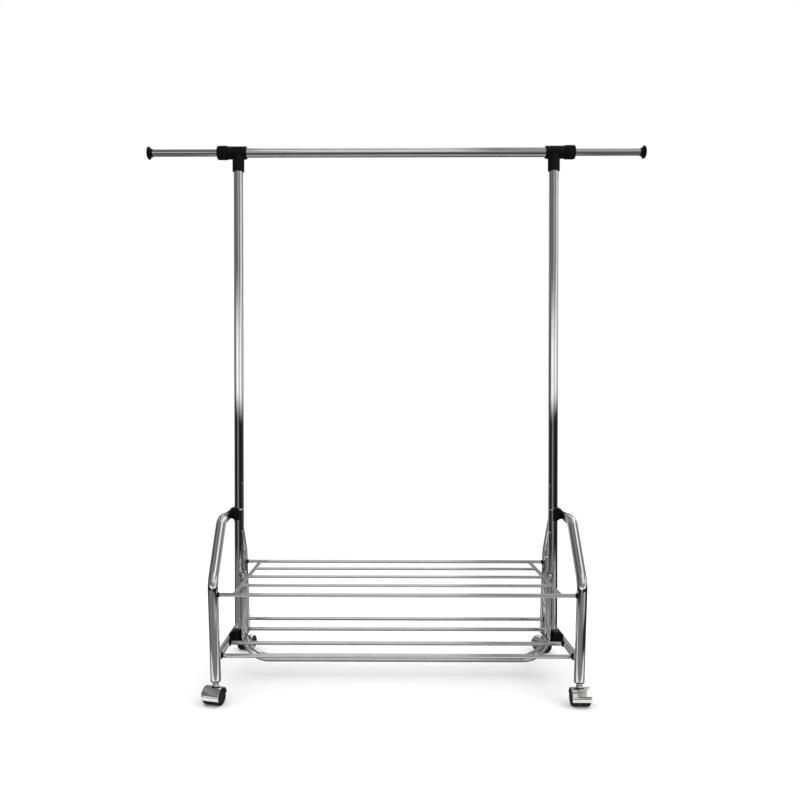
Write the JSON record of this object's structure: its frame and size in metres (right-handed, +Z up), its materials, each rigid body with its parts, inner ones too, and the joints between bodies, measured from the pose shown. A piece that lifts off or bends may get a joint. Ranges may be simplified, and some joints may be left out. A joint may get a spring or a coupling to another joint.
{
  "type": "rolling clothes rack",
  "caption": "Chromed tube clothes rack on casters, with extendable hanging rail, wire shoe shelf and lower rails joined by black moulded fittings.",
  "frame": {"origin": "on the floor under the middle of the rack, halfway between the posts and halfway between front and back legs", "axes": "+X along the hanging rail to the right, +Y from front to back, +Z up"},
  "size_m": [1.34, 0.4987, 1.4188],
  "materials": {
    "chrome_plate": "mirror plated",
    "black_plastic": "satin moulded",
    "tyre_plastic": "hard plastic tread",
    "bright_steel": "turned"
  },
  "bodies": {
    "frame": {"front_left_leg": "chrome_plate", "back_left_leg": "chrome_plate", "left_cross_rail": "chrome_plate", "left_upper_connector": "black_plastic", "left_foot_socket": "black_plastic", "left_lower_post": "chrome_plate", "left_upper_post": "chrome_plate", "left_tee": "black_plastic", "front_right_leg": "chrome_plate", "back_right_leg": "chrome_plate", "right_cross_rail": "chrome_plate", "right_upper_connector": "black_plastic", "right_foot_socket": "black_plastic", "right_lower_post": "chrome_plate", "right_upper_post": "chrome_plate", "right_tee": "black_plastic", "hanging_rail": "chrome_plate", "upper_shelf_front_rail": "chrome_plate", "upper_shelf_back_rail": "chrome_plate", "upper_shelf_grid": "chrome_plate", "upper_front_left_plug": "black_plastic", "upper_front_right_plug": "black_plastic", "upper_back_left_plug": "black_plastic", "upper_back_right_plug": "black_plastic", "lower_shelf_front_rail": "chrome_plate", "lower_front_left_plug": "black_plastic", "lower_front_right_plug": "black_plastic", "lower_shelf_mid_front_rail": "chrome_plate", "lower_mid_front_left_plug": "black_plastic", "lower_mid_front_right_plug": "black_plastic", "lower_shelf_mid_back_rail": "chrome_plate", "lower_mid_back_left_plug": "black_plastic", "lower_mid_back_right_plug": "black_plastic", "lower_shelf_back_rail": "chrome_plate", "lower_back_left_plug": "black_plastic", "lower_back_right_plug": "black_plastic", "front_brace_bar": "chrome_plate", "back_brace_bar": "chrome_plate", "front_left_leg_insert": "black_plastic", "front_right_leg_insert": "black_plastic", "back_left_leg_insert": "black_plastic", "back_right_leg_insert": "black_plastic"},
    "left_extension": {"left_extension_tube": "chrome_plate", "left_end_cap": "black_plastic"},
    "left_collar": {"left_twist_collar": "black_plastic"},
    "right_extension": {"right_extension_tube": "chrome_plate", "right_end_cap": "black_plastic"},
    "right_collar": {"right_twist_collar": "black_plastic"},
    "front_left_caster": {"front_left_caster_housing": "chrome_plate"},
    "front_left_wheels": {"front_left_caster_wheel": "tyre_plastic", "front_left_caster_axle": "bright_steel"},
    "front_right_caster": {"front_right_caster_housing": "chrome_plate"},
    "front_right_wheels": {"front_right_caster_wheel": "tyre_plastic", "front_right_caster_axle": "bright_steel"},
    "back_left_caster": {"back_left_caster_housing": "chrome_plate"},
    "back_left_wheels": {"back_left_caster_wheel": "tyre_plastic", "back_left_caster_axle": "bright_steel"},
    "back_right_caster": {"back_right_caster_housing": "chrome_plate"},
    "back_right_wheels": {"back_right_caster_wheel": "tyre_plastic", "back_right_caster_axle": "bright_steel"}
  },
  "joints": [
    {"name": "left_extension_slide", "type": "slide", "parent": "frame", "child": "left_extension", "axis": [-1, 0, 0], "range_m": [-0.17, 0.16]},
    {"name": "left_collar_twist", "type": "hinge", "parent": "frame", "child": "left_collar", "pos_m": [-0.465, 0, 1.4], "axis": [-1, 0, 0], "range_deg": [0, 90]},
    {"name": "right_extension_slide", "type": "slide", "parent": "frame", "child": "right_extension", "axis": [1, 0, 0], "range_m": [-0.17, 0.16]},
    {"name": "right_collar_twist", "type": "hinge", "parent": "frame", "child": "right_collar", "pos_m": [0.465, 0, 1.4], "axis": [1, 0, 0], "range_deg": [0, 90]},
    {"name": "front_left_swivel", "type": "hinge", "parent": "frame", "child": "front_left_caster", "pos_m": [-0.4383, -0.213, 0.05], "axis": [0, 0, 1], "continuous": true},
    {"name": "front_left_roll", "type": "hinge", "parent": "front_left_caster", "child": "front_left_wheels", "pos_m": [-0.4405, -0.22069, 0.02013], "axis": [0.9613, -0.2756, 0], "continuous": true},
    {"name": "front_right_swivel", "type": "hinge", "parent": "frame", "child": "front_right_caster", "pos_m": [0.4383, -0.213, 0.05], "axis": [0, 0, 1], "continuous": true},
    {"name": "front_right_roll", "type": "hinge", "parent": "front_right_caster", "child": "front_right_wheels", "pos_m": [0.4383, -0.221, 0.02013], "axis": [1, 0, 0], "continuous": true},
    {"name": "back_left_swivel", "type": "hinge", "parent": "frame", "child": "back_left_caster", "pos_m": [-0.4383, 0.213, 0.05], "axis": [0, 0, 1], "continuous": true},
    {"name": "back_left_roll", "type": "hinge", "parent": "back_left_caster", "child": "back_left_wheels", "pos_m": [-0.43637, 0.22076, 0.02013], "axis": [-0.9703, 0.2419, 0], "continuous": true},
    {"name": "back_right_swivel", "type": "hinge", "parent": "frame", "child": "back_right_caster", "pos_m": [0.4383, 0.213, 0.05], "axis": [0, 0, 1], "continuous": true},
    {"name": "back_right_roll", "type": "hinge", "parent": "back_right_caster", "child": "back_right_wheels", "pos_m": [0.43175, 0.20841, 0.02013], "axis": [0.5736, -0.8192, 0], "continuous": true}
  ]
}
